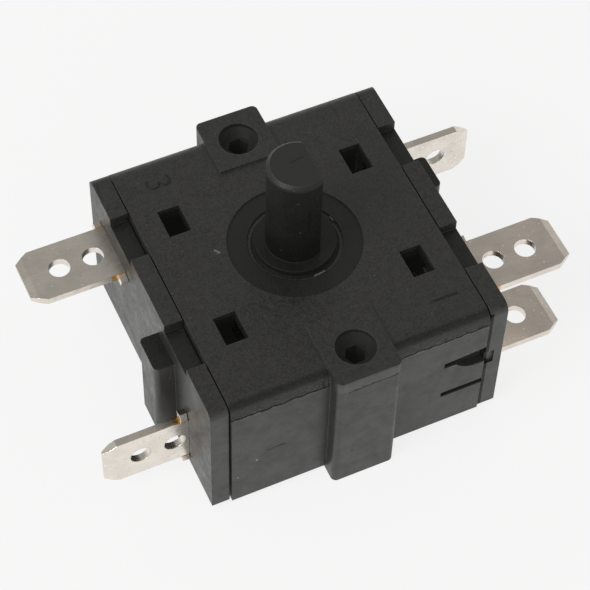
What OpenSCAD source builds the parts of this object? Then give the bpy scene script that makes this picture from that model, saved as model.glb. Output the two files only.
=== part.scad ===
// Rotary power switch with five blade terminals, standing on its base with the shaft up.
// The origin lies under the shaft axis, on the plane that the feet of the ears stand on.
// Heights in the modules are counted from the base plane, a little above those feet.
// X runs across the two end walls that carry the terminals, Y runs through the two ears.

/* [Housing] */
// Width over the two end walls, along X
body_w = 31.6; // [31:0.1:36]
// Length over the front and back walls, along Y
body_l = 31.6; // [31:0.1:35]
// Height from the base plane to the top face
body_h = 16.6; // [16.2:0.1:20]
// Thickness of the end walls of the base
end_wall = 1.9; // [1.6:0.1:2.2]
// Thickness of the top plate of the cover
top_wall = 1.6; // [1.3:0.1:1.9]
// Thickness of the front and back walls of the cover
side_wall = 1.8; // [1.4:0.1:2.2]
// Thickness of the floor of the base
floor_t = 1.6; // [1.3:0.1:1.8]
// Radius along the cover's top front and top back edges
edge_r = 1.45; // [0.5:0.05:1.5]
// Radius along the same edges of the end walls
end_edge_r = 1.0; // [0.5:0.05:1.5]
// How much shorter the end walls are than the cover, at the front and at the back
end_inset = 0.25; // [0.1:0.05:0.6]
// Gap at the seams between cover and base
seam_gap = 0.16; // [0.05:0.01:0.2]

/* [Ears] */
// Distance from an ear's outer face to the middle of its screw hole
hole_inset = 3.5; // [3:0.1:4]
// Width of an ear
ear_w = 6.8; // [6:0.1:8]
// How far an ear stands out from the wall
ear_out = 1.7; // [1.2:0.1:3]
// How far the feet of the ears reach below the base plane
ear_drop = 0.8; // [0:0.1:1.5]
// Radius of the two upright outer edges of an ear
ear_r = 0.6; // [0.3:0.1:1]
// Length of the front ear's raised pad, from the ear's outer face
pad_l_front = 7.9; // [6.4:0.1:8.4]
// Length of the back ear's raised pad, from the ear's outer face
pad_l_back = 6.8; // [6.4:0.1:8.4]
// Height of the pads above the top face
pad_h = 0.25; // [0.1:0.05:0.4]
// Diameter of the round mouth of a screw hole
lead_d = 4.1; // [3.6:0.1:4.6]
// Depth to which the mouth's wall is straight
mouth_depth = 0.5; // [0.3:0.1:0.8]
// Diameter at the foot of the cone under the mouth
cone_foot_d = 2.6; // [2.4:0.1:3.2]
// Depth of the cone's foot below the pad
cone_depth = 1.3; // [1:0.1:1.6]
// Width across the flats of the hexagonal screw hole
hex_af = 1.95; // [1.6:0.05:2.1]
// Height of the hexagonal hole's foot above the base plane
hex_z0 = 8.8; // [8.6:0.1:12]
// Wall of the boss round the hexagonal hole
boss_wall = 1.1; // [0.8:0.1:1.4]

/* [Top face] */
// Offset of a window's centre from the shaft axis, along X
window_x = 10; // [9.4:0.1:10.4]
// Offset of a window's centre from the shaft axis, along Y
window_y = 7.05; // [6.8:0.05:7.4]
// Width of a window, along X
window_w = 2.35; // [2:0.05:2.8]
// Length of a window, along Y
window_l = 3.4; // [3:0.1:4]
// Diameter of the smooth disc sunk round the shaft
disc_d = 13.6; // [12:0.1:14.6]
// Depth of that disc
disc_depth = 0.12; // [0.05:0.01:0.2]

/* [End walls] */
// Length of a notch in the top edge of an end wall
notch_l = 5.5; // [4.5:0.1:6]
// Depth of a notch
notch_depth = 1.1; // [0.8:0.1:1.3]
// Distance of an outer rib's middle from the inside of the cover's wall behind it, along Y
rib_in = 9.3; // [9:0.1:10.4]
// Width of a rib, along Y
rib_w = 4.1; // [3:0.1:4.6]
// How far a rib stands out from its wall
rib_out = 2.1; // [1:0.1:3]
// Height of the foot of a rib above the base plane
rib_z0 = 2.3; // [1:0.1:4]
// Drop of the head of a rib below the top face
rib_drop = 3.2; // [2:0.1:5]

/* [Front slots] */
// Length of a slot in the front wall, from the right seam
slot_l = 4.6; // [3:0.1:6]
// Height of a slot
slot_h = 0.75; // [0.5:0.05:1]
// Drop of the upper slot's middle below the top face, at the slot's closed end
slot_drop = 6.3; // [5:0.1:7]
// How much higher the upper slot opens at the seam
slot_rise = 0.45; // [0:0.05:0.6]
// Height of the lower slot's middle above the base plane
slot_z_lower = 5.1; // [3:0.1:7]
// Diameter of the round hollow under the upper slot
hollow_d = 6.4; // [5:0.1:8]
// Distance of that hollow's middle from the seam
hollow_x = 0.65; // [0.4:0.05:1.5]
// How far the hollow reaches below the slot
hollow_drop = 1.4; // [0.8:0.1:1.8]
// Depth of the hollow
hollow_depth = 1.0; // [0.3:0.1:1.2]
// Width of the pocket that faces the upper slot, in the end wall's front face
pocket_w = 1.0; // [0.6:0.1:1.4]
// Height of that pocket
pocket_h = 2.0; // [1.4:0.1:2.4]
// Depth of that pocket
pocket_depth = 0.25; // [0.1:0.05:0.5]

/* [Shaft] */
// Diameter of the shaft
shaft_d = 6; // [5:0.05:6.4]
// Thickness of the shaft across its flat
shaft_flat = 4.5; // [4.2:0.05:5]
// Height of the shaft's end above the top face
shaft_rise = 12.1; // [8:0.1:25]
// Chamfer round the shaft's end
shaft_chamfer = 0.35; // [0.1:0.05:0.6]
// Diameter of the collar at the shaft's root
collar_d = 8.24; // [7:0.02:8.5]
// Height of the collar above the top face
collar_rise = 0.4; // [0.2:0.05:1]
// Diameter of the bearing hole in the top plate
bush_d = 8.8; // [8.6:0.05:9]
// Diameter of the step at the mouth of the bearing hole
bush_step_d = 9.56; // [9.2:0.02:10]
// Depth of that step
bush_step_depth = 0.35; // [0.2:0.05:0.6]
// Running clearance of a bearing, on the radius
bearing_gap = 0.05; // [0.02:0.01:0.1]

/* [Rotor] */
// How far the flange under the top plate stays inside the drum's edge
flange_step = 0.2; // [0.1:0.05:0.6]
// Thickness of the flange
flange_t = 1.6; // [1:0.1:2]
// Outer diameter of the contact shell on the drum
drum_d = 13; // [12:0.1:13.4]
// Thickness of the contact shell
shell_t = 0.78; // [0.5:0.02:1]
// Gap between the two contact tracks
track_gap = 1.5; // [1.2:0.1:2]
// How far the detent wheel stays inside the drum's edge
star_step = 0.1; // [0:0.05:0.4]
// Thickness of the detent wheel
star_t = 2.4; // [2:0.1:2.6]
// Number of positions in a turn
positions = 12; // [8, 12]
// Diameter of the lower pivot
pivot_d = 4; // [3:0.1:5]
// Running gap above and below the rotor
axial_gap = 0.1; // [0.05:0.01:0.2]

/* [Detent] */
// Diameter of a detent ball
ball_d = 2.4; // [2:0.1:2.6]
// Depth to which a ball sinks in the detent wheel
ball_sink = 0.5; // [0.3:0.05:0.6]
// Wire diameter of a detent spring
wire_d = 0.3; // [0.2:0.02:0.4]
// Turns of a detent spring
spring_turns = 5; // [4:1:6]

/* [Terminals] */
// Width of a blade
blade_w = 6.3; // [6:0.1:6.6]
// Thickness of a blade
blade_t = 0.8; // [0.6:0.05:1]
// Length of a blade outside its wall
blade_out = 9.8; // [8:0.1:12]
// How much deeper the left lower blade is seated
left_lower_seat = 0.75; // [0:0.05:1]
// How much deeper the right back blade is seated
right_back_seat = 0.2; // [0:0.05:0.4]
// Length of the cut corner at a blade's tip
tip_cut = 1.5; // [0.8:0.1:1.8]
// Width of the cut corner at a blade's tip
tip_side = 0.9; // [0.5:0.1:1.4]
// Length of the coined bevel at a blade's tip
tip_bevel = 0.8; // [0.5:0.1:1.4]
// Diameter of the two holes in a blade
blade_hole_d = 2.2; // [1.6:0.1:2.4]
// Distance from a blade's tip to the outer hole
blade_hole_in = 3.9; // [3.2:0.1:4.2]
// Distance between the two holes
blade_hole_pitch = 3.6; // [3:0.1:4]
// Length of the staked lug at each side of a blade's root
lug_l = 0.8; // [0.5:0.1:1.2]
// How far a lug stands out from the blade's edge
lug_out = 0.8; // [0.5:0.1:1.1]
// Angle by which the lugs are twisted out of the blade's plane
lug_twist = 20; // [0:5:30]
// Drop of the left upper blade's top below the top face
left_upper_drop = 4.2; // [3.8:0.1:4.6]
// Distance of that blade's middle from the inside of the back wall
left_upper_in = 4.8; // [4:0.1:5]
// Middle of the left lower blade above the base plane
left_lower_z = 4.7; // [4.6:0.1:6]
// Distance of that blade's middle plane from the inside of the front wall
left_lower_in = 4.5; // [4:0.1:4.8]
// Drop of the right upper blade's top below the top face
right_upper_drop = 2.7; // [2.6:0.1:3.6]
// Distance of that blade's middle from the inside of the front wall
right_upper_in = 5.7; // [4.5:0.1:6]
// Top of the right lower blade above the base plane
right_lower_z = 2.7; // [2.65:0.05:3.2]
// Distance of that blade's middle from the inside of the front wall
right_lower_in = 5.3; // [4.5:0.1:6]
// Middle of the right back blade above the base plane
right_back_z = 7.2; // [7:0.1:8]
// Distance of that blade's middle plane from the inside of the back wall
right_back_in = 3.1; // [2.5:0.1:3.5]

/* [Contact fingers] */
// Thickness of a contact finger
finger_t = 0.3; // [0.2:0.02:0.4]
// Height of a contact finger
finger_h = 2.2; // [1.8:0.1:2.4]
// Height of a contact button on its finger
button_h = 0.6; // [0.4:0.05:0.8]
// Diameter of a contact button
button_d = 1.8; // [1.4:0.1:2]
// Running gap between a button and the drum
button_gap = 0.1; // [0.05:0.01:0.2]
// Shank diameter of the small rivets
rivet_d = 1.3; // [1:0.1:1.5]
// Head diameter of the small rivets
rivet_head_d = 2.3; // [1.9:0.1:2.6]
// Head height of the small rivets
rivet_head_h = 0.4; // [0.3:0.05:0.5]

/* [Hidden] */
$fn = 48;
eps = 0.01;
fit_gap = 0.05;
rivet_gap = 0.02;
hex_sides = 6;
// Half sizes of the housing
end_x = body_w / 2;
inner_x = end_x - end_wall;
cover_x = inner_x - seam_gap;
wall_y = body_l / 2;
inner_y = wall_y - side_wall;
ear_y = wall_y + ear_out;
hole_y = ear_y - hole_inset;
rib_y = inner_y - rib_in;
// Places of the blades on the two end walls
left_upper_y = inner_y - left_upper_in;
left_upper_z = body_h - left_upper_drop;
left_lower_y = -inner_y + left_lower_in;
right_upper_y = -inner_y + right_upper_in;
right_upper_z = body_h - right_upper_drop;
right_lower_y = -inner_y + right_lower_in;
right_back_y = inner_y - right_back_in;
// The screw boss inside the cover, and the heights of the front slots
boss_floor = 0.8;
boss_z0 = hex_z0 - boss_floor;
slot_z_upper = body_h - slot_drop;
slot_foot = slot_z_upper - slot_h / 2;
// Heights of the rotor, counted from the face downwards and from the floor upwards
under_top = body_h - top_wall;
flange_z1 = under_top - axial_gap;
flange_z0 = flange_z1 - flange_t;
flange_d = drum_d - 2 * flange_step;
star_d = drum_d - 2 * star_step;
track_margin = 0.4;
upper_track_z1 = flange_z0 - track_margin;
pivot_boss_h = 0.8;
pivot_boss_wall = 2;
star_z0 = floor_t + pivot_boss_h + 2 * axial_gap;
star_z1 = star_z0 + star_t;
lower_track_z0 = star_z1 + track_margin;
track_h = (upper_track_z1 - lower_track_z0 - track_gap) / 2;
upper_track_z0 = upper_track_z1 - track_h;
lower_track_z1 = lower_track_z0 + track_h;
upper_level = (upper_track_z0 + upper_track_z1) / 2;
lower_level = (lower_track_z0 + lower_track_z1) / 2;
pivot_pocket = 0.8;
core_r = drum_d / 2 - shell_t;
// Start and width of each window in the contact shell's lower track, in degrees
idle = [[-25, 45], [105, 35], [200, 60]];
pad_gap = 1;
// Detent: a ball sits in a groove of the wheel and is guided in a block on the floor
ball_x = star_d / 2 - ball_sink + ball_d / 2;
guide_gap = 0.05;
guide_bore_r = ball_d / 2 + guide_gap;
guide_x0 = ball_x - 0.1;
guide_wall = 0.5;
guide_z = (star_z0 + star_z1) / 2;
guide_end = inner_x - 0.7;
coil_r = ball_d / 2 - wire_d / 2 - 0.1;
// The inner tongue of a flat terminal, and the seat of its finger
tongue_x = inner_x - 2.7;
tongue_w = 4;
tongue_over = finger_h / 2 + 0.4;
finger_end = 1.2;
finger_r = drum_d / 2 + button_gap + button_h + finger_t / 2;
plate_reach = 6.6;
plate_rise_l = 2;
// How far the inner strips narrow before the inner wall, and an upright finger's seat and rivet
strip_inset = 0.6;
upright_seat = 1.6;
upright_rivet = 3;
// Snap of the cover on the base
clip_w = 7;
clip_t = 0.9;
clip_h = 5.4;
clip_window_w = 4;
clip_window_z0 = floor_t + 1.6;
clip_window_h = 1.4;
barb_out = 0.6;

// Where a finger leaves its seat, as seen from the right-hand side
function flat_bend(y) = [tongue_x - finger_t / 2, y - sign(y) * tongue_w * 0.4];
function flat_start(y) = [tongue_x - finger_t / 2, y + sign(y) * tongue_w * 0.4];
function upright_y(y) = y - sign(y) * (blade_t + finger_t) / 2;
function upright_bend(y) = [plate_reach + 0.4, upright_y(y)];
function upright_start(y) = [inner_x - upright_seat, upright_y(y)];
// Angle at which a line from p touches a circle of radius r round the shaft axis
function touch_angle(p, r, turn) = atan2(p.y, p.x) + turn * acos(r / norm(p));
function on_circle(r, a) = [r * cos(a), r * sin(a)];
function flat_touch(y) = touch_angle(flat_bend(y), finger_r, -sign(y));
function upright_touch(y) = touch_angle(upright_bend(y), finger_r, sign(y));

// Left-hand pieces are drawn on the right and mirrored
module on_side(side) {
  if (side < 0) mirror([1, 0, 0]) children();
  else children();
}

// The base plane lies a little above the feet of the ears
module stand() {
  translate([0, 0, ear_drop]) children();
}

// Side view of the housing: an upright rectangle with two rounded top corners
module housing_profile(l, h, r) {
  translate([-l / 2, 0]) square([l, h - r]);
  translate([-l / 2 + r, 0]) square([l - 2 * r, h]);
  for (s = [-1, 1]) translate([s * (l / 2 - r), h - r]) circle(r = r);
}

// The same profile stretched along X from x0 to x1
module housing_bar(x0, x1, l, h, r) {
  translate([x0, 0, 0]) rotate([90, 0, 90]) linear_extrude(x1 - x0) housing_profile(l, h, r);
}

module ear(s) {
  depth = ear_y - inner_y;
  pad_l = s < 0 ? pad_l_front : pad_l_back;
  boss_d = hex_af / cos(180 / hex_sides) + 2 * boss_wall;
  mirror([0, s < 0 ? 1 : 0, 0]) {
    translate([0, 0, -ear_drop]) linear_extrude(ear_drop + body_h + pad_h) {
      translate([-ear_w / 2, inner_y]) square([ear_w, depth - ear_r]);
      translate([-ear_w / 2 + ear_r, inner_y]) square([ear_w - 2 * ear_r, depth]);
      for (x = [-1, 1]) translate([x * (ear_w / 2 - ear_r), ear_y - ear_r]) circle(r = ear_r);
    }
    translate([-ear_w / 2, ear_y - pad_l, under_top])
      cube([ear_w, pad_l - depth + eps, top_wall + pad_h]);
    // Boss inside the cover that closes the screw hole
    translate([0, hole_y, boss_z0]) linear_extrude(under_top - boss_z0 + eps) {
      circle(d = boss_d);
      translate([-boss_d / 2, 0]) square([boss_d, hole_inset - ear_r]);
    }
  }
}

module screw_hole(s) {
  pad_z = body_h + pad_h;
  translate([0, s * hole_y, 0]) {
    translate([0, 0, pad_z - mouth_depth]) cylinder(d = lead_d, h = mouth_depth + 1);
    translate([0, 0, pad_z - cone_depth])
      cylinder(d1 = cone_foot_d, d2 = lead_d, h = cone_depth - mouth_depth + eps);
    translate([0, 0, hex_z0])
      cylinder(d = hex_af / cos(180 / hex_sides), h = pad_z - hex_z0, $fn = hex_sides);
  }
}

module front_slot(z, rise) {
  low = z - slot_h / 2;
  high = z + slot_h / 2;
  x0 = cover_x - slot_l;
  x1 = cover_x + 1;
  translate([0, -inner_y + 1, 0]) rotate([90, 0, 0]) linear_extrude(side_wall + 2)
    polygon([[x0, low], [x1, low], [x1, high + rise], [x0, high]]);
}

module cover() {
  color("#3c3c3e") difference() {
    union() {
      difference() {
        housing_bar(-cover_x, cover_x, body_l, body_h, edge_r);
        translate([-cover_x - 1, -inner_y, -1]) cube([2 * cover_x + 2, 2 * inner_y, under_top + 1]);
      }
      for (s = [-1, 1]) ear(s);
      // Barbs that snap into the clips of the base
      for (s = [-1, 1]) translate([0, s * (inner_y - barb_out / 2), clip_window_z0 + clip_window_h / 2])
        cube([clip_window_w - 0.4, barb_out + 2 * eps, clip_window_h - 0.3], center = true);
    }
    for (s = [-1, 1]) screw_hole(s);
    for (x = [-1, 1], y = [-1, 1])
      translate([x * window_x, y * window_y, body_h])
        cube([window_w, window_l, 3 * top_wall], center = true);
    translate([0, 0, under_top - 1]) cylinder(d = bush_d, h = top_wall + 2);
    translate([0, 0, body_h - bush_step_depth]) cylinder(d = bush_step_d, h = 1);
    translate([0, 0, body_h - disc_depth]) cylinder(d = disc_d, h = 1);
    front_slot(slot_z_upper, slot_rise);
    front_slot(slot_z_lower, 0);
    // The round hollow is only the part of its circle below the upper slot
    intersection() {
      translate([cover_x - hollow_x, -wall_y - 1, slot_foot - hollow_drop + hollow_d / 2])
        rotate([-90, 0, 0]) cylinder(d = hollow_d, h = hollow_depth + 1);
      translate([cover_x - hollow_d, -wall_y - 2, slot_foot - 2 * hollow_drop])
        cube([hollow_d + 1, side_wall + 2, 2 * hollow_drop + eps]);
    }
  }
}

module rib() {
  r = 0.5;
  translate([end_x - eps, rib_y - rib_w / 2, rib_z0]) linear_extrude(body_h - rib_drop - rib_z0) {
    square([rib_out - r, rib_w]);
    translate([0, r]) square([rib_out, rib_w - 2 * r]);
    for (y = [r, rib_w - r]) translate([rib_out - r, y]) circle(r = r);
  }
}

// Slot in an end wall for a blade that lies flat
module flat_slot(y, z) {
  translate([inner_x - 1, y - blade_w / 2 - fit_gap, z - blade_t - fit_gap])
    cube([end_wall + 2, blade_w + 2 * fit_gap, blade_t + 2 * fit_gap]);
}

// Slot in an end wall for a blade that stands upright
module upright_slot(y, z) {
  translate([inner_x - 1, y - blade_t / 2 - fit_gap, z - blade_w / 2 - fit_gap])
    cube([end_wall + 2, blade_t + 2 * fit_gap, blade_w + 2 * fit_gap]);
}

module detent_guide() {
  difference() {
    translate([guide_x0, -guide_bore_r - 2 * guide_wall, floor_t - eps])
      cube([inner_x - guide_x0 + eps, 2 * guide_bore_r + 4 * guide_wall,
        guide_z + guide_bore_r + guide_wall - floor_t]);
    translate([guide_x0 - 1, 0, guide_z]) rotate([0, 90, 0])
      cylinder(r = guide_bore_r, h = guide_end - guide_x0 + 1);
  }
}

module clip(s) {
  y0 = inner_y - fit_gap - clip_t;
  mirror([0, s < 0 ? 1 : 0, 0]) difference() {
    translate([-clip_w / 2, y0, floor_t - eps]) cube([clip_w, clip_t, clip_h]);
    translate([-clip_window_w / 2, y0 - 1, clip_window_z0]) cube([clip_window_w, clip_t + 2, clip_window_h]);
  }
}

module base() {
  color("#363638") difference() {
    union() {
      for (s = [-1, 1]) on_side(s) difference() {
        housing_bar(inner_x, end_x, body_l - 2 * end_inset, body_h, end_edge_r);
        for (y = [-1, 1]) translate([inner_x - 1, y * window_y - notch_l / 2, body_h - notch_depth])
          cube([end_wall + 2, notch_l, notch_depth + 1]);
      }
      translate([-inner_x - eps, -inner_y + fit_gap, 0])
        cube([2 * inner_x + 2 * eps, 2 * inner_y - 2 * fit_gap, floor_t]);
      rib();
      rotate([0, 0, 180]) rib();
      for (s = [-1, 1]) on_side(s) detent_guide();
      for (s = [-1, 1]) clip(s);
      translate([0, 0, floor_t - eps]) cylinder(d = pivot_d + 2 * pivot_boss_wall, h = pivot_boss_h + eps);
    }
    // Pocket beside the upper front slot
    translate([inner_x - 1, -wall_y + end_inset - 1, slot_foot - hollow_drop - pocket_h / 2])
      cube([pocket_w + 1, pocket_depth + 1, pocket_h]);
    translate([0, 0, pivot_pocket]) cylinder(d = pivot_d + 2 * bearing_gap, h = body_h);
    on_side(-1) {
      flat_slot(left_upper_y, left_upper_z);
      upright_slot(left_lower_y, left_lower_z);
    }
    flat_slot(right_upper_y, right_upper_z);
    flat_slot(right_lower_y, right_lower_z);
    upright_slot(right_back_y, right_back_z);
  }
}

module ring(r0, r1, z0, z1, start = 0, turn = 360) {
  rotate([0, 0, start]) rotate_extrude(angle = turn) translate([r0, z0]) square([r1 - r0, z1 - z0]);
}

module selector_shaft() {
  top = body_h + shaft_rise;
  flat_x = shaft_flat - shaft_d / 2;
  journal_r = bush_d / 2 - bearing_gap;
  color("#2e2e30") union() {
    difference() {
      union() {
        translate([0, 0, body_h]) cylinder(d = shaft_d, h = shaft_rise - shaft_chamfer);
        translate([0, 0, top - shaft_chamfer])
          cylinder(d1 = shaft_d, d2 = shaft_d - 2 * shaft_chamfer, h = shaft_chamfer);
      }
      translate([flat_x, -shaft_d, body_h + collar_rise]) cube([shaft_d, 2 * shaft_d, shaft_rise + 1]);
    }
    translate([0, 0, flange_z1 - eps])
      cylinder(d = collar_d, h = body_h + collar_rise - flange_z1 + eps);
    translate([0, 0, flange_z1 - eps])
      cylinder(r = journal_r, h = top_wall - bush_step_depth + axial_gap + eps);
    translate([0, 0, flange_z0]) cylinder(d = flange_d, h = flange_t);
    translate([0, 0, star_z1 - eps]) cylinder(r = core_r, h = flange_z0 - star_z1 + 2 * eps);
    // Insulating pads that fill the windows of the contact shell
    for (a = idle) ring(core_r - 1, drum_d / 2 - bearing_gap, lower_track_z0, lower_track_z1,
      a[0] + pad_gap, a[1] - 2 * pad_gap);
    difference() {
      translate([0, 0, star_z0]) cylinder(d = star_d, h = star_t);
      for (i = [0 : positions - 1]) rotate([0, 0, i * 360 / positions])
        translate([ball_x, 0, star_z0 - 1]) cylinder(r = guide_bore_r, h = star_t + 2);
    }
    translate([0, 0, pivot_pocket + axial_gap]) cylinder(d = pivot_d, h = star_z0 - pivot_pocket);
  }
}

// Brass shell on the drum: a closed upper track and the live sectors that hang from it
module contact_shell() {
  color("#c9a550") difference() {
    ring(core_r + rivet_gap, drum_d / 2, lower_track_z0, upper_track_z1);
    for (a = idle) ring(core_r - 1, drum_d, lower_track_z0 - 1, upper_track_z0, a[0], a[1]);
  }
}

// A blade along +X from its wall, lying flat, with its underside at z = 0
module blade(out, twist) {
  half = blade_w / 2;
  land = blade_t * 0.3;
  difference() {
    intersection() {
      translate([-eps, 0, 0]) linear_extrude(blade_t)
        polygon([[0, -half], [out - tip_cut, -half], [out, -half + tip_side],
          [out, half - tip_side], [out - tip_cut, half], [0, half]]);
      rotate([90, 0, 0]) translate([0, 0, -blade_w]) linear_extrude(2 * blade_w)
        polygon([[-1, 0], [out - tip_bevel, 0], [out, land],
          [out, blade_t - land], [out - tip_bevel, blade_t], [-1, blade_t]]);
    }
    for (i = [0, 1]) translate([out - blade_hole_in - i * blade_hole_pitch, 0, -1])
      cylinder(d = blade_hole_d, h = blade_t + 2);
  }
  for (s = [-1, 1]) translate([fit_gap, s * half, blade_t / 2]) rotate([twist, 0, 0])
    translate([0, s > 0 ? -0.2 : -lug_out, -blade_t / 2]) cube([lug_l, lug_out + 0.2, blade_t]);
}

// A terminal whose blade lies flat: its inner end is bent into an upright tongue at the finger's level
module flat_terminal(y, z, level) {
  z0 = min(z - blade_t, level - tongue_over);
  z1 = max(z, level + tongue_over);
  wide = inner_x - strip_inset;
  color("#aaa69e") difference() {
    union() {
      translate([end_x, y, z - blade_t]) blade(blade_out, lug_twist);
      translate([wide, y - blade_w / 2, z - blade_t]) cube([end_x - wide, blade_w, blade_t]);
      translate([tongue_x, y - tongue_w / 2, z - blade_t]) cube([wide - tongue_x + eps, tongue_w, blade_t]);
      translate([tongue_x, y - tongue_w / 2, z0]) cube([blade_t, tongue_w, z1 - z0]);
    }
    translate([tongue_x - 1, y, level]) rotate([0, 90, 0])
      cylinder(d = rivet_d + 2 * rivet_gap, h = blade_t + 1);
    // Room for the rivet's outer head where the strip meets the tongue
    translate([tongue_x + blade_t, y, level]) rotate([0, 90, 0])
      cylinder(d = rivet_head_d + 4 * fit_gap, h = rivet_head_h + 2 * fit_gap);
  }
}

// A terminal whose blade stands upright: its inner end is a plain strip at the finger's level
module upright_terminal(y, z, seat, level) {
  wide = inner_x - strip_inset;
  z0 = min(z - blade_w / 2 + 1, level - tongue_over);
  z1 = max(level + tongue_over, z);
  color("#aaa69e") difference() {
    union() {
      translate([end_x, y + blade_t / 2, z]) rotate([90, 0, 0]) blade(blade_out - seat, -lug_twist);
      translate([wide, y - blade_t / 2, z - blade_w / 2]) cube([end_x - wide, blade_t, blade_w]);
      translate([plate_reach, y - blade_t / 2, level - tongue_over])
        cube([wide - plate_reach + eps, blade_t, 2 * tongue_over]);
      translate([wide - plate_rise_l, y - blade_t / 2, z0]) cube([plate_rise_l + eps, blade_t, z1 - z0]);
    }
    translate([inner_x - upright_rivet, y - blade_t, level]) rotate([-90, 0, 0])
      cylinder(d = rivet_d + 2 * rivet_gap, h = 2 * blade_t);
  }
}

// Flat strip that follows a list of points, seen from above
module strip(points, t) {
  for (i = [0 : len(points) - 2]) {
    a = points[i];
    b = points[i + 1];
    d = b - a;
    translate(a) rotate(atan2(d.y, d.x)) translate([0, -t / 2]) square([norm(d), t]);
  }
  for (i = [1 : len(points) - 2]) translate(points[i]) circle(d = t, $fn = 24);
}

// Contact finger: seated at p0, bent at p1, and touching the drum's circle at the angle a
module finger(p0, p1, a, level) {
  touch = on_circle(finger_r, a);
  run = (touch - p1) / norm(touch - p1);
  translate([0, 0, level - finger_h / 2]) linear_extrude(finger_h)
    strip([p0, p1, touch + run * finger_end], finger_t);
}

// A small rivet along +Z whose inner head starts at z = 0 and whose outer head ends the grip
module small_rivet(grip) {
  translate([0, 0, -rivet_head_h]) cylinder(d = rivet_head_d, h = rivet_head_h);
  translate([0, 0, -eps]) cylinder(d = rivet_d, h = grip + 2 * eps);
  translate([0, 0, grip]) cylinder(d = rivet_head_d, h = rivet_head_h);
}

module flat_rivet_at(y, level) {
  translate([tongue_x - finger_t, y, level]) rotate([0, 90, 0]) children();
}

module upright_rivet_at(y, level) {
  translate([inner_x - upright_rivet, y - sign(y) * (blade_t / 2 + finger_t), level])
    rotate([y < 0 ? 90 : -90, 0, 0]) children();
}

module flat_finger(y, level) {
  color("#c08a4e") difference() {
    finger(flat_start(y), flat_bend(y), flat_touch(y), level);
    flat_rivet_at(y, level) translate([0, 0, -1]) cylinder(d = rivet_d + 2 * rivet_gap, h = 2);
    button_hole(flat_touch(y), level);
  }
}

module upright_finger(y, level) {
  color("#c08a4e") difference() {
    finger(upright_start(y), upright_bend(y), upright_touch(y), level);
    upright_rivet_at(y, level) translate([0, 0, -1]) cylinder(d = rivet_d + 2 * rivet_gap, h = 2);
    button_hole(upright_touch(y), level);
  }
}

module button_hole(a, level) {
  rotate([0, 0, a]) translate([finger_r - 1, 0, level]) rotate([0, 90, 0])
    cylinder(d = button_d / 2 + 2 * rivet_gap, h = 2);
}

// Silver contact button: it faces the drum, and its shank is riveted over behind the finger
module button(a, level) {
  inner = finger_r - finger_t / 2;
  outer = finger_r + finger_t / 2;
  color("#d8d8d4") rotate([0, 0, a]) translate([0, 0, level]) rotate([0, 90, 0]) {
    translate([0, 0, inner - button_h]) cylinder(d1 = button_d * 0.8, d2 = button_d, h = button_h);
    translate([0, 0, inner - eps]) cylinder(d = button_d / 2, h = finger_t + 2 * eps);
    translate([0, 0, outer]) cylinder(d = button_d * 0.8, h = 0.3);
  }
}

module rivet_part(side, flat, y, level) {
  color("#b8924a") on_side(side) {
    if (flat) flat_rivet_at(y, level) small_rivet(blade_t + finger_t);
    else upright_rivet_at(y, level) small_rivet(blade_t + finger_t);
  }
}

// Closed coil from x0 to x1 along X: rings of wire points, joined by side faces and two caps
module coil(x0, x1) {
  sides = 6;
  steps = spring_turns * 12;
  run = x1 - x0 - wire_d;
  lead = atan2(run / spring_turns, 2 * PI * coil_r);
  function wire_point(i, k) =
    let (a = i * 360 * spring_turns / steps, b = k * 360 / sides,
      out = coil_r + wire_d / 2 * cos(b), up = wire_d / 2 * sin(b))
    [x0 + wire_d / 2 + run * i / steps + up * cos(lead),
      out * cos(a) - up * sin(lead) * -sin(a), out * sin(a) - up * sin(lead) * cos(a)];
  points = [for (i = [0 : steps], k = [0 : sides - 1]) wire_point(i, k)];
  sidewalls = [for (i = [0 : steps - 1], k = [0 : sides - 1])
    let (n = (k + 1) % sides)
    [i * sides + k, i * sides + n, (i + 1) * sides + n, (i + 1) * sides + k]];
  caps = [[for (k = [sides - 1 : -1 : 0]) k], [for (k = [0 : sides - 1]) steps * sides + k]];
  polyhedron(points = points, faces = concat(sidewalls, caps), convexity = 4);
}

module detent_ball(side) {
  color("#c8ccd0") on_side(side) translate([ball_x, 0, guide_z]) sphere(d = ball_d);
}

module detent_spring(side) {
  color("#9a9ea2") on_side(side) translate([0, 0, guide_z])
    coil(ball_x + ball_d / 2 + fit_gap, guide_end - fit_gap);
}

stand() cover();
stand() base();
stand() selector_shaft();
stand() contact_shell();
stand() on_side(-1) flat_terminal(left_upper_y, left_upper_z, upper_level);  // terminal_left_upper
stand() on_side(-1) upright_terminal(left_lower_y, left_lower_z, left_lower_seat, lower_level);  // terminal_left_lower
stand() flat_terminal(right_upper_y, right_upper_z, upper_level);  // terminal_right_upper
stand() flat_terminal(right_lower_y, right_lower_z, lower_level);  // terminal_right_lower
stand() upright_terminal(right_back_y, right_back_z, right_back_seat, lower_level);  // terminal_right_back
stand() on_side(-1) flat_finger(left_upper_y, upper_level);  // finger_left_upper
stand() on_side(-1) upright_finger(left_lower_y, lower_level);  // finger_left_lower
stand() flat_finger(right_upper_y, upper_level);  // finger_right_upper
stand() flat_finger(right_lower_y, lower_level);  // finger_right_lower
stand() upright_finger(right_back_y, lower_level);  // finger_right_back
stand() on_side(-1) button(flat_touch(left_upper_y), upper_level);  // button_left_upper
stand() on_side(-1) button(upright_touch(left_lower_y), lower_level);  // button_left_lower
stand() button(flat_touch(right_upper_y), upper_level);  // button_right_upper
stand() button(flat_touch(right_lower_y), lower_level);  // button_right_lower
stand() button(upright_touch(right_back_y), lower_level);  // button_right_back
stand() rivet_part(-1, true, left_upper_y, upper_level);  // rivet_left_upper
stand() rivet_part(-1, false, left_lower_y, lower_level);  // rivet_left_lower
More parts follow.
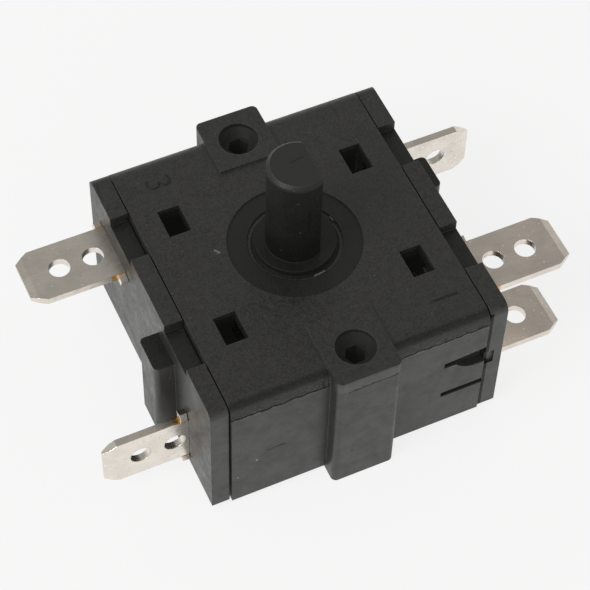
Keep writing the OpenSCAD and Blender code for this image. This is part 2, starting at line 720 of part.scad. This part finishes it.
stand() rivet_part(1, true, right_upper_y, upper_level);  // rivet_right_upper
stand() rivet_part(1, true, right_lower_y, lower_level);  // rivet_right_lower
stand() rivet_part(1, false, right_back_y, lower_level);  // rivet_right_back
stand() detent_ball(-1);  // detent_ball_left
stand() detent_ball(1);  // detent_ball_right
stand() detent_spring(-1);  // detent_spring_left
stand() detent_spring(1);  // detent_spring_right
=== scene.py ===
# %% [markdown]
# # A rotary power switch
# The switch is a black moulded block with a plastic D shaft on top, two screw ears and five
# tin-plated blades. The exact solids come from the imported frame, already in metres and in place,
# so this script only dresses them: it gives each one a finish, adds the small moulded details
# that the solids leave out, and sets up the camera, the floor and the light.

import math

import bpy
from mathutils import Matrix, Vector


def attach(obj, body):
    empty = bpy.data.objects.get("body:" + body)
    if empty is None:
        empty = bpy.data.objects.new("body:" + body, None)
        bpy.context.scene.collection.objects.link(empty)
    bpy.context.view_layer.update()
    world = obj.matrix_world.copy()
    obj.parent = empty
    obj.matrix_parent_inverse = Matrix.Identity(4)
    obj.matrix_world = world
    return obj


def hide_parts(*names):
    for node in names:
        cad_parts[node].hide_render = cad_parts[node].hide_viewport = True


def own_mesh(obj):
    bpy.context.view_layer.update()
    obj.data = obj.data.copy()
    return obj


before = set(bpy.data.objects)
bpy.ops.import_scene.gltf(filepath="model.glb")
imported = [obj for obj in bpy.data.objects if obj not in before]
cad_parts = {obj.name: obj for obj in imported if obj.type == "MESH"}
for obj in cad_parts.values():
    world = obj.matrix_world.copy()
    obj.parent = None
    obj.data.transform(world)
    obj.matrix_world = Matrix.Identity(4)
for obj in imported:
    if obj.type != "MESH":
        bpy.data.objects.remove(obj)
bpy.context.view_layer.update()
MM = 0.001

# %% [markdown]
# ## Places on the switch
# A few sizes are needed again and again: where the top face lies, where the walls and seams are,
# and where each blade leaves its wall. They are written once here, in millimetres, with heights
# counted from the plane that the feet of the ears stand on. The middle of a blade is its place
# along y where it lies flat, and its height where it stands upright.

# %% Main sizes
FACE_Z = 17.4
WALL_Y = 15.8
END_X = 15.8
SEAM_X = 13.84
SHAFT_TOP = 29.5
BLADE_HALF = 3.15
EDGE_R = 1.45
EAR_HALF = 3.4
HOLE_Y = 14.0
DISC_R = 6.8
BUSH_R = 4.8
PARTING_DROP = 1.83
EAR_LINE_DROP = 1.4
STEP_Z = FACE_Z - 0.35
TERMINALS = {
    "terminal_left_upper": {"side": -1, "flat": True, "middle": 9.2},
    "terminal_left_lower": {"side": -1, "flat": False, "middle": 5.5},
    "terminal_right_upper": {"side": 1, "flat": True, "middle": -8.3},
    "terminal_right_lower": {"side": 1, "flat": True, "middle": -8.7},
    "terminal_right_back": {"side": 1, "flat": False, "middle": 8.0},
}
print("terminals:", len(TERMINALS))

# %% [markdown]
# ## The camera
# The photograph was taken from the front left, about 55 degrees up and 21 cm away. The three
# axes below are the camera's right, up and backward directions, solved from the known sizes of
# the shaft, the screw holes and the blades. They make up the camera's rotation.

# %% Camera
right_axis = Vector((0.9098981, -0.4143794, 0.0193665))
up_axis = Vector((0.3280375, 0.7473143, 0.5778518))
back_axis = Vector((-0.2539228, -0.5194333, 0.8159119))
camera_place = Vector((-55.7088, -114.3605, 187.6213)) * MM

camera_data = bpy.data.cameras.new("camera")
camera_data.sensor_width = 36
camera_data.lens = 130.9
camera_data.clip_start = 0.01
camera_data.clip_end = 10
camera = bpy.data.objects.new("camera", camera_data)
bpy.context.scene.collection.objects.link(camera)
turn = Matrix((right_axis, up_axis, back_axis)).transposed()
camera.matrix_world = Matrix.Translation(camera_place) @ turn.to_4x4()
bpy.context.scene.camera = camera
print("camera distance in mm:", round(camera_place.length / MM, 1))

# %% [markdown]
# ## A small language for shader maths
# A finish is a network of nodes. Writing it as sums and products is easier to read, so a value
# that comes out of a node is wrapped in a small class: adding, multiplying or comparing two such
# values adds the Math node that does it. One method makes every other kind of node.

# %% Shader helper
class Value:
    def __init__(self, finish, socket):
        self.finish = finish
        self.socket = socket

    def __add__(self, other):
        return self.finish.math("ADD", self, other)

    def __sub__(self, other):
        return self.finish.math("SUBTRACT", self, other)

    def __mul__(self, other):
        return self.finish.math("MULTIPLY", self, other)

    def __truediv__(self, other):
        return self.finish.math("DIVIDE", self, other)

    def __rsub__(self, other):
        return self.finish.math("SUBTRACT", other, self)

    def __gt__(self, other):
        return self.finish.math("GREATER_THAN", self, other)

    def __lt__(self, other):
        return self.finish.math("LESS_THAN", self, other)

    def __abs__(self):
        return self.finish.math("ABSOLUTE", self)

    __radd__ = __add__
    __rmul__ = __mul__

    def ramp(self, low, high, out_low=0.0, out_high=1.0):
        """Smooth step from out_low at low to out_high at high."""
        return self.finish.node(
            "ShaderNodeMapRange", {"interpolation_type": "SMOOTHSTEP"},
            {"Value": self, "From Min": low, "From Max": high, "To Min": out_low, "To Max": out_high})


class Finish:
    def __init__(self, name):
        self.material = bpy.data.materials.new(name)
        self.material.use_nodes = True
        self.tree = self.material.node_tree
        self.tree.nodes.clear()

    def node(self, kind, settings=None, values=None, out=0):
        made = self.tree.nodes.new(kind)
        for key, setting in (settings or {}).items():
            setattr(made, key, setting)
        for key, value in (values or {}).items():
            self.feed(made.inputs[key], value)
        return Value(self, made.outputs[out]) if len(made.outputs) else None

    def feed(self, socket, value):
        if isinstance(value, Value):
            self.tree.links.new(value.socket, socket)
        elif isinstance(value, (tuple, list)) and len(value) == 3 and socket.type == "RGBA":
            socket.default_value = (*value, 1.0)
        else:
            socket.default_value = value

    def math(self, operation, first, second=None):
        values = {0: first} if second is None else {0: first, 1: second}
        return self.node("ShaderNodeMath", {"operation": operation}, values)

    def place(self):
        """The three object coordinates, in millimetres."""
        point = self.node("ShaderNodeTexCoord", out=3)
        split = self.tree.nodes.new("ShaderNodeSeparateXYZ")
        self.tree.links.new(point.socket, split.inputs[0])
        return [Value(self, split.outputs[i]) * 1000.0 for i in range(3)]

    def stretched(self, scale):
        """Object coordinates in millimetres, scaled differently along each axis."""
        point = self.node("ShaderNodeTexCoord", out=3)
        return self.node("ShaderNodeMapping", {}, {"Vector": point, "Scale": [s * 1000.0 for s in scale]})

    def noise(self, grains_per_mm, detail=2.0, roughness=0.5, vector=None):
        vector = vector or self.stretched((1, 1, 1))
        return self.node("ShaderNodeTexNoise", {}, {
            "Vector": vector, "Scale": grains_per_mm, "Detail": detail, "Roughness": roughness})

    def blend(self, mask, first, second):
        """Colour first where the mask is 0, colour second where it is 1."""
        return self.node("ShaderNodeMix", {"data_type": "RGBA", "clamp_factor": True},
                         {0: mask, 6: first, 7: second}, out=2)

    def flecks(self, spots_per_mm, size, rarity):
        """1 in small round spots, of which only some are kept."""
        values = {"Vector": self.stretched((1, 1, 1)), "Scale": spots_per_mm}
        distance = self.node("ShaderNodeTexVoronoi", {}, values)
        pick = self.node("ShaderNodeTexVoronoi", {}, values, out=1)
        return (distance < size) * (pick > rarity)

    def rounded(self, radius_mm):
        """The normal, rounded over sharp edges."""
        return self.node("ShaderNodeBevel", {"samples": 6}, {"Radius": radius_mm * MM})

    def worn(self, soft):
        """1 where the rounded normal leaves the flat one, which is at sharp edges."""
        flat = self.node("ShaderNodeNewGeometry", out=1)
        dot = self.tree.nodes.new("ShaderNodeVectorMath")
        dot.operation = "DOT_PRODUCT"
        self.feed(dot.inputs[0], soft)
        self.feed(dot.inputs[1], flat)
        along = Value(self, dot.outputs["Value"])
        return (1.0 - along).ramp(0.02, 0.25)

    def surface(self, constants, linked):
        """One Principled shader: plain numbers on its sockets, links only where a value varies."""
        shader = self.node("ShaderNodeBsdfPrincipled", {}, {**constants, **linked})
        self.node("ShaderNodeOutputMaterial", {}, {"Surface": shader})
        return self.material


print("shader helper ready")

# %% [markdown]
# ## Black moulded plastic
# The housing is a glass-filled black thermoplastic. Its top face is finely spark-eroded, so it
# looks even and matt, with tiny pale flecks of filler and dust; the sides show broader clouds
# where the melt cooled at different speeds. The colour is nearly black, and what the eye reads
# as grey is mostly the sheen of pale surroundings. A rounded normal softens the solids' sharp
# edges as the real mould does, and rubs them a little lighter.

# %% Moulded plastic
# A faint constant glow on every plastic is painted light: it lifts even the deepest holes to dark grey,
# never black
PAINTED_GLOW = (0.0036, 0.0038, 0.0030)
EDGE_WEAR_MM = 0.12
# SHADE is the near-black that painted shade blends to; the disc around the bush takes it as its darker
# tone
SHADE = (0.004, 0.004, 0.004)
WORN_GREY = (0.06, 0.06, 0.057)
MOUTH_R = 2.7


def near(u, v, middle_u, middle_v, radius):
    """1 inside a round spot on a plane, 0 outside."""
    across, along = u - middle_u, v - middle_v
    return across * across + along * along < radius * radius


def moulded_plastic(name, colour, sheen, grain_per_mm, grain_height_mm, ior, marks=None):
    finish = Finish(name)
    soft = finish.rounded(EDGE_WEAR_MM)
    edge = finish.worn(soft)
    x, y, z = finish.place()
    cloud = finish.noise(0.35, 3.0, 0.6)
    patch = finish.noise(1.3, 3.0, 0.6)
    grain = finish.noise(grain_per_mm, 4.0, 0.62)
    speck = finish.flecks(1.15, 0.085, 0.62)
    base = finish.blend(grain.ramp(0.35, 0.68), [c * 0.45 for c in colour], [c * 1.7 for c in colour])
    base = finish.blend(patch.ramp(0.35, 0.7) * 0.5, base, [c * 1.5 for c in colour])
    base = finish.blend(speck * 0.7, base, (0.10, 0.10, 0.095))
    base = finish.blend(edge * 0.5, base, [c * 3.0 for c in colour])
    rough = cloud.ramp(0.3, 0.7, sheen - 0.05, sheen + 0.06) + (grain - 0.5) * 0.35 + (patch - 0.5) * 0.30
    height = grain * grain_height_mm + patch * (grain_height_mm * 0.8)
    # A raised Metallic over a near-black colour darkens colour and sheen; the masks below use it for
    # painted shade and small marks
    painted_shade_and_marks = 0.0
    if marks:
        base, rough, height, painted_shade_and_marks = marks(finish, (x, y, z), base, rough, height)
    bump = finish.node("ShaderNodeBump", {}, {
        "Strength": 1.0, "Distance": MM, "Height": height, "Normal": soft})
    constants = {"IOR": ior, "Emission Color": PAINTED_GLOW, "Emission Strength": 1.0}
    return finish.surface(constants, {
        "Base Color": base, "Roughness": rough, "Metallic": painted_shade_and_marks, "Normal": bump})


print("plastic ready, haze:", PAINTED_GLOW)

# %% [markdown]
# ## Marks of the cover
# The cover's front wall has a ragged parting line below its top edge, and the ears have a line
# of their own. They could be cut into the mesh, but they are only hundredths of a millimetre
# deep, so masks made from the object coordinates draw them, with their darkness as painted shade.
# A mask that raises Metallic over a near-black colour takes the sheen away too; it paints the
# shade of deep places and cracks.

# %% Cover marks
def cover_marks(finish, place, base, rough, height):
    x, y, z = place
    below = FACE_Z - z
    front = y < -(WALL_Y - EDGE_R)
    # Above the parting line the wall leans back, and the line itself is a ragged crack, darkened with
    # painted shade
    wobble = (finish.noise(1.1, 4.0, 0.65) - 0.5) * 0.9
    drop = PARTING_DROP + wobble
    rise = finish.math("MAXIMUM", drop - below, 0.0)
    lean_end = 1.3
    rise = finish.math("MINIMUM", rise, lean_end)
    band = front * (abs(x) > EAR_HALF)
    height = height - band * (rise - rise * rise / (2 * lean_end)) * 0.84
    crack_shade = band * (1.0 - abs(below - drop).ramp(0.05, 0.16))
    rim = band * (below > drop + 0.16) * (below < drop + 0.3)
    # The rounded top of the front wall is darkened with painted shade
    painted_edge_shade = band * below.ramp(0.0, 0.2) * (1.0 - below.ramp(0.4, 0.8))
    # The ear has its own line, darkened with painted shade, with a paler lip above it
    ear = (y < -(WALL_Y + 0.8)) * (abs(x) < EAR_HALF + 0.1)
    ear_drop = EAR_LINE_DROP + wobble
    ear_line_shade = ear * (1.0 - abs(below - ear_drop).ramp(0.05, 0.15)) * (x > -2.3)
    lip = ear * (below < ear_drop - 0.1) * (below > 0.1)
    dot = ear * near(x, below, -1.48, 12.48, 0.16)
    # The ring around the bush is darker and more matt than the sparked face
    disc = (x * x + y * y < DISC_R * DISC_R) * (below < 0.3)
    # Deep places gather less light, and this is painted as shade: the windows, the bush and the screw
    # mouths
    inside = (below > 0.6) * (abs(x) < 12.5) * (abs(y) < 9.5)
    mouth = near(x, abs(y), 0.0, HOLE_Y, MOUTH_R) * (below > -0.2)
    moat = near(x, y, 0.0, 0.0, BUSH_R) * (below > 0.5)
    # Small accidents: a scratch and specks on the front wall, a pale rub on the face
    scratch = front * (abs(x + 9.0) < 1.0) * (abs(below - 9.35 + wobble * 0.5) < 0.10)
    pale = front * near(x, below, -11.06, 10.54, 0.13) + front * near(x, below, -13.1, 12.6, 0.09)
    along, across = (x + 7.6) * 0.57 - (y - 1.88) * 0.82, (x + 7.6) * 0.82 + (y - 1.88) * 0.57
    rub = (abs(along) < 0.36) * (abs(across) < 0.10) * (below < 0.1)
    base = finish.blend(disc * 0.7, base, SHADE)
    base = finish.blend(rim * 0.6, base, WORN_GREY)
    base = finish.blend(lip * 0.5, base, WORN_GREY)
    base = finish.blend(pale + rub * 0.5, base, (0.30, 0.30, 0.28))
    rough = rough + disc * 0.08 + mouth * 0.3
    # Painted shade in the crack, the ear line, the rounded top edge and the deep places, with the scratch,
    # the dot and the disc's darker tone, darkens colour and sheen
    painted_shade_and_marks = crack_shade + ear_line_shade * 0.8 + scratch * 0.7 + dot * 0.6 + painted_edge_shade * 0.45 + disc * 0.32
    painted_shade_and_marks = painted_shade_and_marks + inside * 0.4 + mouth * 0.35 + moat * 0.4
    painted_shade_and_marks = finish.math("MINIMUM", painted_shade_and_marks, 1.0)
    base = finish.blend(painted_shade_and_marks, base, SHADE)
    return base, rough, height, painted_shade_and_marks


print("cover marks ready, parting line at:", PARTING_DROP)

# %% [markdown]
# ## Marks of the base
# Of the base only the end walls show. A seam runs down beside the cover with a painted shadow
# along it, and the floors of the notches lie in the shade of the walls, which is painted too.

# %% Base marks
def base_marks(finish, place, base, rough, height):
    x, y, z = place
    below = FACE_Z - z
    front = y < -(WALL_Y - 0.6)
    # The right end wall stands a little off the cover, so its front edge lies in shadow, which is painted
    # here as a dark strip
    seam_shadow = front * (x > SEAM_X) * (x < SEAM_X + 0.42) * (below > 0.6)
    # Floors of the notches and tops of the ribs lie deep beside the wall and gather less light; they and
    # the screw mouths are darkened with painted shade
    facing = finish.tree.nodes.new("ShaderNodeSeparateXYZ")
    finish.feed(facing.inputs[0], finish.node("ShaderNodeNewGeometry", out=1))
    ledge_shade = (Value(finish, facing.outputs["Z"]) > 0.8) * (below > 0.5)
    mouth = near(x, abs(y), 0.0, HOLE_Y, MOUTH_R) * (below > -0.2)
    painted_shade_and_marks = finish.math("MINIMUM", seam_shadow + ledge_shade * 0.4 + mouth * 0.3, 1.0)
    base = finish.blend(painted_shade_and_marks, base, SHADE)
    return base, rough, height, painted_shade_and_marks


print("base marks ready, seam at:", SEAM_X)

# %% [markdown]
# ## Marks of the shaft
# The shaft is a smoother and darker plastic than the housing. Its end is paler, and it carries
# a scrape, a drag line and a pale fleck from handling. Its sides and foot are darkened with
# painted shade, and the drum under the windows is lifted with painted light.

# %% Shaft marks
def shaft_marks(finish, place, base, rough, height):
    x, y, z = place
    above = z - FACE_Z
    # The drum deep under the windows gets a paler colour: painted light that lifts the shade down there
    drum_painted_light = above < -0.6
    base = finish.blend(drum_painted_light, base, (0.05, 0.05, 0.045))
    base = finish.blend(above > SHAFT_TOP - FACE_Z - 0.15, base, (0.015, 0.015, 0.0145))
    # The foot of the shaft and its sides below the end are darkened with painted shade
    foot_shade = (above > 0.5) * (1.0 - above.ramp(1.5, 5.0))
    side = above < SHAFT_TOP - FACE_Z - 0.7
    # A scrape across the end, a dark drag line down the front and a pale speck beside it
    scrape = (above > SHAFT_TOP - FACE_Z - 0.1) * (abs(x - 0.1) < 0.75) * (abs(y - 0.48 - x * 0.12) < 0.11)
    drag = (abs(x) < 0.10) * (y < -2.7) * (abs(above - 6.9) < 1.4)
    fleck = near(x, above, -0.88, 5.2, 0.12) * (y < -2.0)
    base = finish.blend(fleck * 0.5, base, (0.10, 0.10, 0.095))
    shank_shade = (above > 0.5) * side
    painted_shade_and_marks = side * 0.28 + shank_shade * 0.17 + foot_shade * 0.25 + scrape * 0.35 + drag * 0.28
    return base, rough, height, painted_shade_and_marks


print("shaft marks ready, end at:", SHAFT_TOP)

# %% [markdown]
# ## The plastics
# One recipe serves every plastic piece: the cover, the base, the shaft and the raised numerals
# differ only in their black, their sheen and the grain of their moulds. The numerals' deeper
# black is painted shade, for the shaded side of their strokes.

# %% Plastic finishes
COVER_BLACK = (0.0165, 0.0162, 0.0154)
SHAFT_BLACK = (0.003, 0.0032, 0.0031)
cover_finish = moulded_plastic("cover_plastic", COVER_BLACK, 0.46, 4.5, 0.020, 1.58, marks=cover_marks)
base_finish = moulded_plastic("base_plastic", COVER_BLACK, 0.42, 4.0, 0.016, 1.58, marks=base_marks)
shaft_finish = moulded_plastic("shaft_plastic", SHAFT_BLACK, 0.56, 5.0, 0.012, 1.5, marks=shaft_marks)
# The numerals' deeper black is painted shade
shaded_relief_finish = moulded_plastic("relief_plastic_painted_shade", (0.007, 0.007, 0.0065), 0.38, 5.0, 0.006, 1.44)
print("plastics:", cover_finish.name, base_finish.name, shaft_finish.name)

# %% [markdown]
# ## Tin-plated brass
# The blades are stamped from brass strip and tin plated, so they look like slightly warm, soft
# silver with fine rolling lines along the blade. Where the strip was sheared after plating, at
# the staked lugs by the wall, the bare brass shows orange.

# %% Plated blades
TIN = (0.86, 0.805, 0.73)
TIN_WARM = (0.84, 0.765, 0.69)
BRASS_CUT = (0.83, 0.47, 0.14)


def plated_blade(name, spot):
    finish = Finish(name)
    soft = finish.rounded(0.08 if spot["flat"] else 0.12)
    x, y, z = finish.place()
    lines = finish.noise(1.0, 3.0, 0.6, finish.stretched((0.5, 9.0, 9.0)))
    spots = finish.noise(2.2, 4.0, 0.6)
    cloud = finish.noise(0.4, 2.0, 0.5)
    # Cut edge: near the wall, in a thin layer at the blade's long edge
    along_edge = abs((y if spot["flat"] else z) - spot["middle"])
    from_wall = x * float(spot["side"]) - END_X
    cut = (abs(along_edge - BLADE_HALF) < 0.06) * (from_wall < 1.5) * (from_wall > -1.0)
    tin = TIN_WARM if spot["flat"] and spot["side"] > 0 else TIN
    tint = finish.blend(cloud.ramp(0.35, 0.65), tin, [c * 0.9 for c in tin])
    tint = finish.blend(spots.ramp(0.52, 0.72) * 0.4, tint, (0.62, 0.55, 0.47))
    tint = finish.blend(finish.flecks(1.7, 0.17, 0.55), tint, (1.0, 0.97, 0.93))
    tint = finish.blend(cut, tint, BRASS_CUT)
    low = 0.26 if spot["flat"] else 0.18
    rough = lines.ramp(0.3, 0.7, low, low + 0.12) + spots.ramp(0.5, 0.8) * 0.12
    bump = finish.node("ShaderNodeBump", {}, {
        "Strength": 0.6, "Distance": 0.006 * MM, "Height": lines + spots * 0.5, "Normal": soft})
    return finish.surface({"Metallic": 1.0}, {"Base Color": tint, "Roughness": rough, "Normal": bump})


def metal(name, colour, rough, lines=(3.0, 3.0, 3.0)):
    finish = Finish(name)
    soft = finish.rounded(0.04)
    streak = finish.noise(1.0, 3.0, 0.6, finish.stretched(lines))
    cloud = finish.noise(0.8, 2.0, 0.5)
    tint = finish.blend(cloud.ramp(0.35, 0.65), colour, [c * 0.82 for c in colour])
    shine = streak.ramp(0.3, 0.7, rough - 0.06, rough + 0.08)
    bump = finish.node("ShaderNodeBump", {}, {
        "Strength": 0.5, "Distance": 0.004 * MM, "Height": streak, "Normal": soft})
    return finish.surface({"Metallic": 1.0}, {"Base Color": tint, "Roughness": shine, "Normal": bump})


inner_finishes = {
    "contact_shell": metal("contact_brass", (0.80, 0.60, 0.30), 0.30, (1.0, 1.0, 8.0)),
    "finger": metal("spring_bronze", (0.76, 0.50, 0.30), 0.32, (2.0, 2.0, 9.0)),
    "button": metal("contact_silver", (0.88, 0.87, 0.84), 0.28),
    "rivet": metal("rivet_brass", (0.78, 0.57, 0.29), 0.34),
    "detent_ball": metal("ball_steel", (0.74, 0.75, 0.77), 0.14),
    "detent_spring": metal("spring_steel", (0.56, 0.57, 0.59), 0.30, (6.0, 2.0, 2.0)),
}
print("metals:", len(inner_finishes))

# %% [markdown]
# ## Dressing the solids
# Each solid keeps its mesh. Only the material in its slots changes.

# %% Assign finishes
def dress(node, material):
    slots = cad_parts[node].data.materials
    slots.clear()
    slots.append(material)


dress("cover", cover_finish)
dress("base", base_finish)
dress("selector_shaft", shaft_finish)
for node, spot in TERMINALS.items():
    dress(node, plated_blade(node + "_tin", spot))
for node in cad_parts:
    for family, material in inner_finishes.items():
        if node.startswith(family):
            dress(node, material)
print("dressed:", len(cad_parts))

# %% [markdown]
# ## Floor and light
# The switch lies on a white sheet that is bright right into the background, with almost no
# shadow. The sheet is a pale floor. To the camera and in reflections it also glows a little,
# so that it reads as white without more light on the switch. The room above is darker than the
# sheet, which is why upward faces of the blades look grey and upright ones look white.

# %% Floor
bpy.ops.mesh.primitive_plane_add(size=6, location=(0, 0, 0))
floor = bpy.context.object
floor.name = "floor"
sheet = Finish("white_sheet")
rays = sheet.tree.nodes.new("ShaderNodeLightPath")
seen = Value(sheet, rays.outputs["Is Camera Ray"])
seen = sheet.math("MAXIMUM", seen, Value(sheet, rays.outputs["Is Glossy Ray"]))
seen = sheet.math("MAXIMUM", seen, Value(sheet, rays.outputs["Is Transmission Ray"]))
paper = sheet.node("ShaderNodeBsdfDiffuse", {}, {"Color": (0.86, 0.86, 0.86)})
glow = sheet.node("ShaderNodeEmission", {}, {"Color": (1.0, 1.0, 1.0), "Strength": 1.0})
both = sheet.node("ShaderNodeMixShader", {}, {0: seen * 0.82, 1: paper, 2: glow})
sheet.node("ShaderNodeOutputMaterial", {}, {"Surface": both})
floor.data.materials.append(sheet.material)
print("floor ready")

# %% Lamps and world
world = bpy.data.worlds.new("room")
bpy.context.scene.world = world
world.use_nodes = True
sky = world.node_tree
sky.nodes.clear()
direction = sky.nodes.new("ShaderNodeTexCoord")
height = sky.nodes.new("ShaderNodeSeparateXYZ")
fade = sky.nodes.new("ShaderNodeValToRGB")
fade.color_ramp.elements[0].position = 0.0
fade.color_ramp.elements[0].color = (0.90, 0.90, 0.90, 1)
fade.color_ramp.elements[1].position = 0.7
fade.color_ramp.elements[1].color = (0.345, 0.338, 0.325, 1)
shell = sky.nodes.new("ShaderNodeBackground")
result = sky.nodes.new("ShaderNodeOutputWorld")
sky.links.new(direction.outputs["Generated"], height.inputs[0])
sky.links.new(height.outputs["Z"], fade.inputs[0])
sky.links.new(fade.outputs[0], shell.inputs["Color"])
sky.links.new(shell.outputs[0], result.inputs["Surface"])


def soft_lamp(name, place_mm, size_mm, watts):
    data = bpy.data.lights.new(name, "AREA")
    data.shape = "DISK"
    data.size = size_mm * MM
    data.energy = watts
    lamp = bpy.data.objects.new(name, data)
    bpy.context.scene.collection.objects.link(lamp)
    lamp.location = Vector(place_mm) * MM
    aim = Vector((0, 0, 8 * MM)) - lamp.location
    lamp.rotation_euler = aim.to_track_quat("-Z", "Y").to_euler()


soft_lamp("left_lamp", (-420, -120, 420), 380, 1.6)
bpy.context.scene.view_settings.view_transform = "Standard"

# %% [markdown]
# ## Plain numerals
# The face carries raised marks beside the windows. Only plain terminal numbers are made here:
# a 3 near the back left corner and a 1 near the front right corner. Each is a text curve that
# is made a mesh, and stands a few hundredths of a millimetre proud of the face.

# %% Numerals
def numeral(digit, x, y, height_mm, turn_deg):
    bpy.ops.object.select_all(action="DESELECT")
    bpy.ops.object.text_add(location=(x * MM, y * MM, (FACE_Z - 0.03) * MM),
                            rotation=(0, 0, math.radians(turn_deg)))
    text = bpy.context.object
    text.data.body = digit
    text.data.align_x = "CENTER"
    text.data.align_y = "CENTER"
    text.data.size = height_mm * 1.4 * MM
    text.data.extrude = 0.08 * MM
    text.data.offset = -0.07 * MM
    bpy.ops.object.convert(target="MESH")
    bpy.ops.object.transform_apply(location=True, rotation=True, scale=True)
    text.name = "numeral_" + digit
    text.data.materials.clear()
    text.data.materials.append(shaded_relief_finish)
    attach(text, "housing")
    print(text.name, len(text.data.polygons), "faces")


numeral("3", -9.76, 12.14, 2.8, -90)
numeral("1", 10.4, -12.05, 3.0, -90)

# %% [markdown]
# ## Flash at the bush
# Where the mould's core met the bush, slivers of plastic stayed on the step of the bush and
# catch the light. Each is a small upright strip that is spun along its arc and pinched to a
# point at both ends.

# %% Slivers
def sliver(name, middle_deg, sweep_deg, radius_mm, width_mm, height_mm):
    bpy.ops.object.select_all(action="DESELECT")
    start = math.radians(middle_deg - sweep_deg / 2)
    spot = Vector((radius_mm * math.cos(start), radius_mm * math.sin(start), STEP_Z + height_mm / 2)) * MM
    bpy.ops.mesh.primitive_plane_add(size=MM, location=spot, rotation=(math.pi / 2, 0, start))
    strip = bpy.context.object
    strip.name = name
    strip.scale = (width_mm, height_mm, 1)
    bpy.ops.object.transform_apply(location=True, rotation=True, scale=True)
    bpy.ops.object.mode_set(mode="EDIT")
    bpy.ops.mesh.select_all(action="SELECT")
    bpy.ops.mesh.spin(steps=8, angle=math.radians(sweep_deg), center=(0, 0, 0), axis=(0, 0, 1))
    bpy.ops.object.mode_set(mode="OBJECT")
    turns = [math.degrees(math.atan2(corner.co.y, corner.co.x)) for corner in strip.data.vertices]
    for end_deg in (min(turns), max(turns)):
        bpy.ops.object.mode_set(mode="EDIT")
        bpy.ops.mesh.select_all(action="DESELECT")
        bpy.ops.object.mode_set(mode="OBJECT")
        for corner in strip.data.vertices:
            corner.select = abs(math.degrees(math.atan2(corner.co.y, corner.co.x)) - end_deg) < 0.3
        bpy.ops.object.mode_set(mode="EDIT")
        bpy.ops.mesh.merge(type="CENTER")
        bpy.ops.object.mode_set(mode="OBJECT")
    bpy.ops.object.mode_set(mode="EDIT")
    bpy.ops.mesh.select_all(action="SELECT")
    bpy.ops.mesh.normals_make_consistent(inside=False)
    bpy.ops.object.mode_set(mode="OBJECT")
    strip.data.materials.append(flash_finish)
    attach(strip, "housing")
    print(name, len(strip.data.polygons), "faces")


flash_finish = moulded_plastic("flash_plastic", (0.09, 0.088, 0.08), 0.4, 5.0, 0.006, 1.5)
sliver("flash_front", -64, 18, 4.60, 0.14, 0.30)
sliver("flash_right", 23, 9, 4.62, 0.12, 0.30)
sliver("flash_back", 110, 12, 4.60, 0.12, 0.30)

# %% [markdown]
# ## Detent springs
# A spring shortens when the wheel pushes its ball outwards. The coil's shape is the solid's own,
# so the solid is copied, its seams are merged and it is shaded smooth; the copy hangs on the
# housing and the solid itself is hidden.

# %% Springs
def shortening_spring(side):
    bpy.ops.object.select_all(action="DESELECT")
    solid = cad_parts["detent_spring_" + side]
    coil = bpy.data.objects.new("coil_" + side, solid.data.copy())
    bpy.context.scene.collection.objects.link(coil)
    coil.select_set(True)
    bpy.context.view_layer.objects.active = coil
    bpy.ops.object.mode_set(mode="EDIT")
    bpy.ops.mesh.select_all(action="SELECT")
    bpy.ops.mesh.remove_doubles(threshold=0.001 * MM)
    bpy.ops.object.mode_set(mode="OBJECT")
    bpy.ops.object.shade_smooth_by_angle(angle=math.radians(40))
    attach(coil, "housing")
    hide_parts("detent_spring_" + side)
    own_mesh(coil)


shortening_spring("left")
shortening_spring("right")
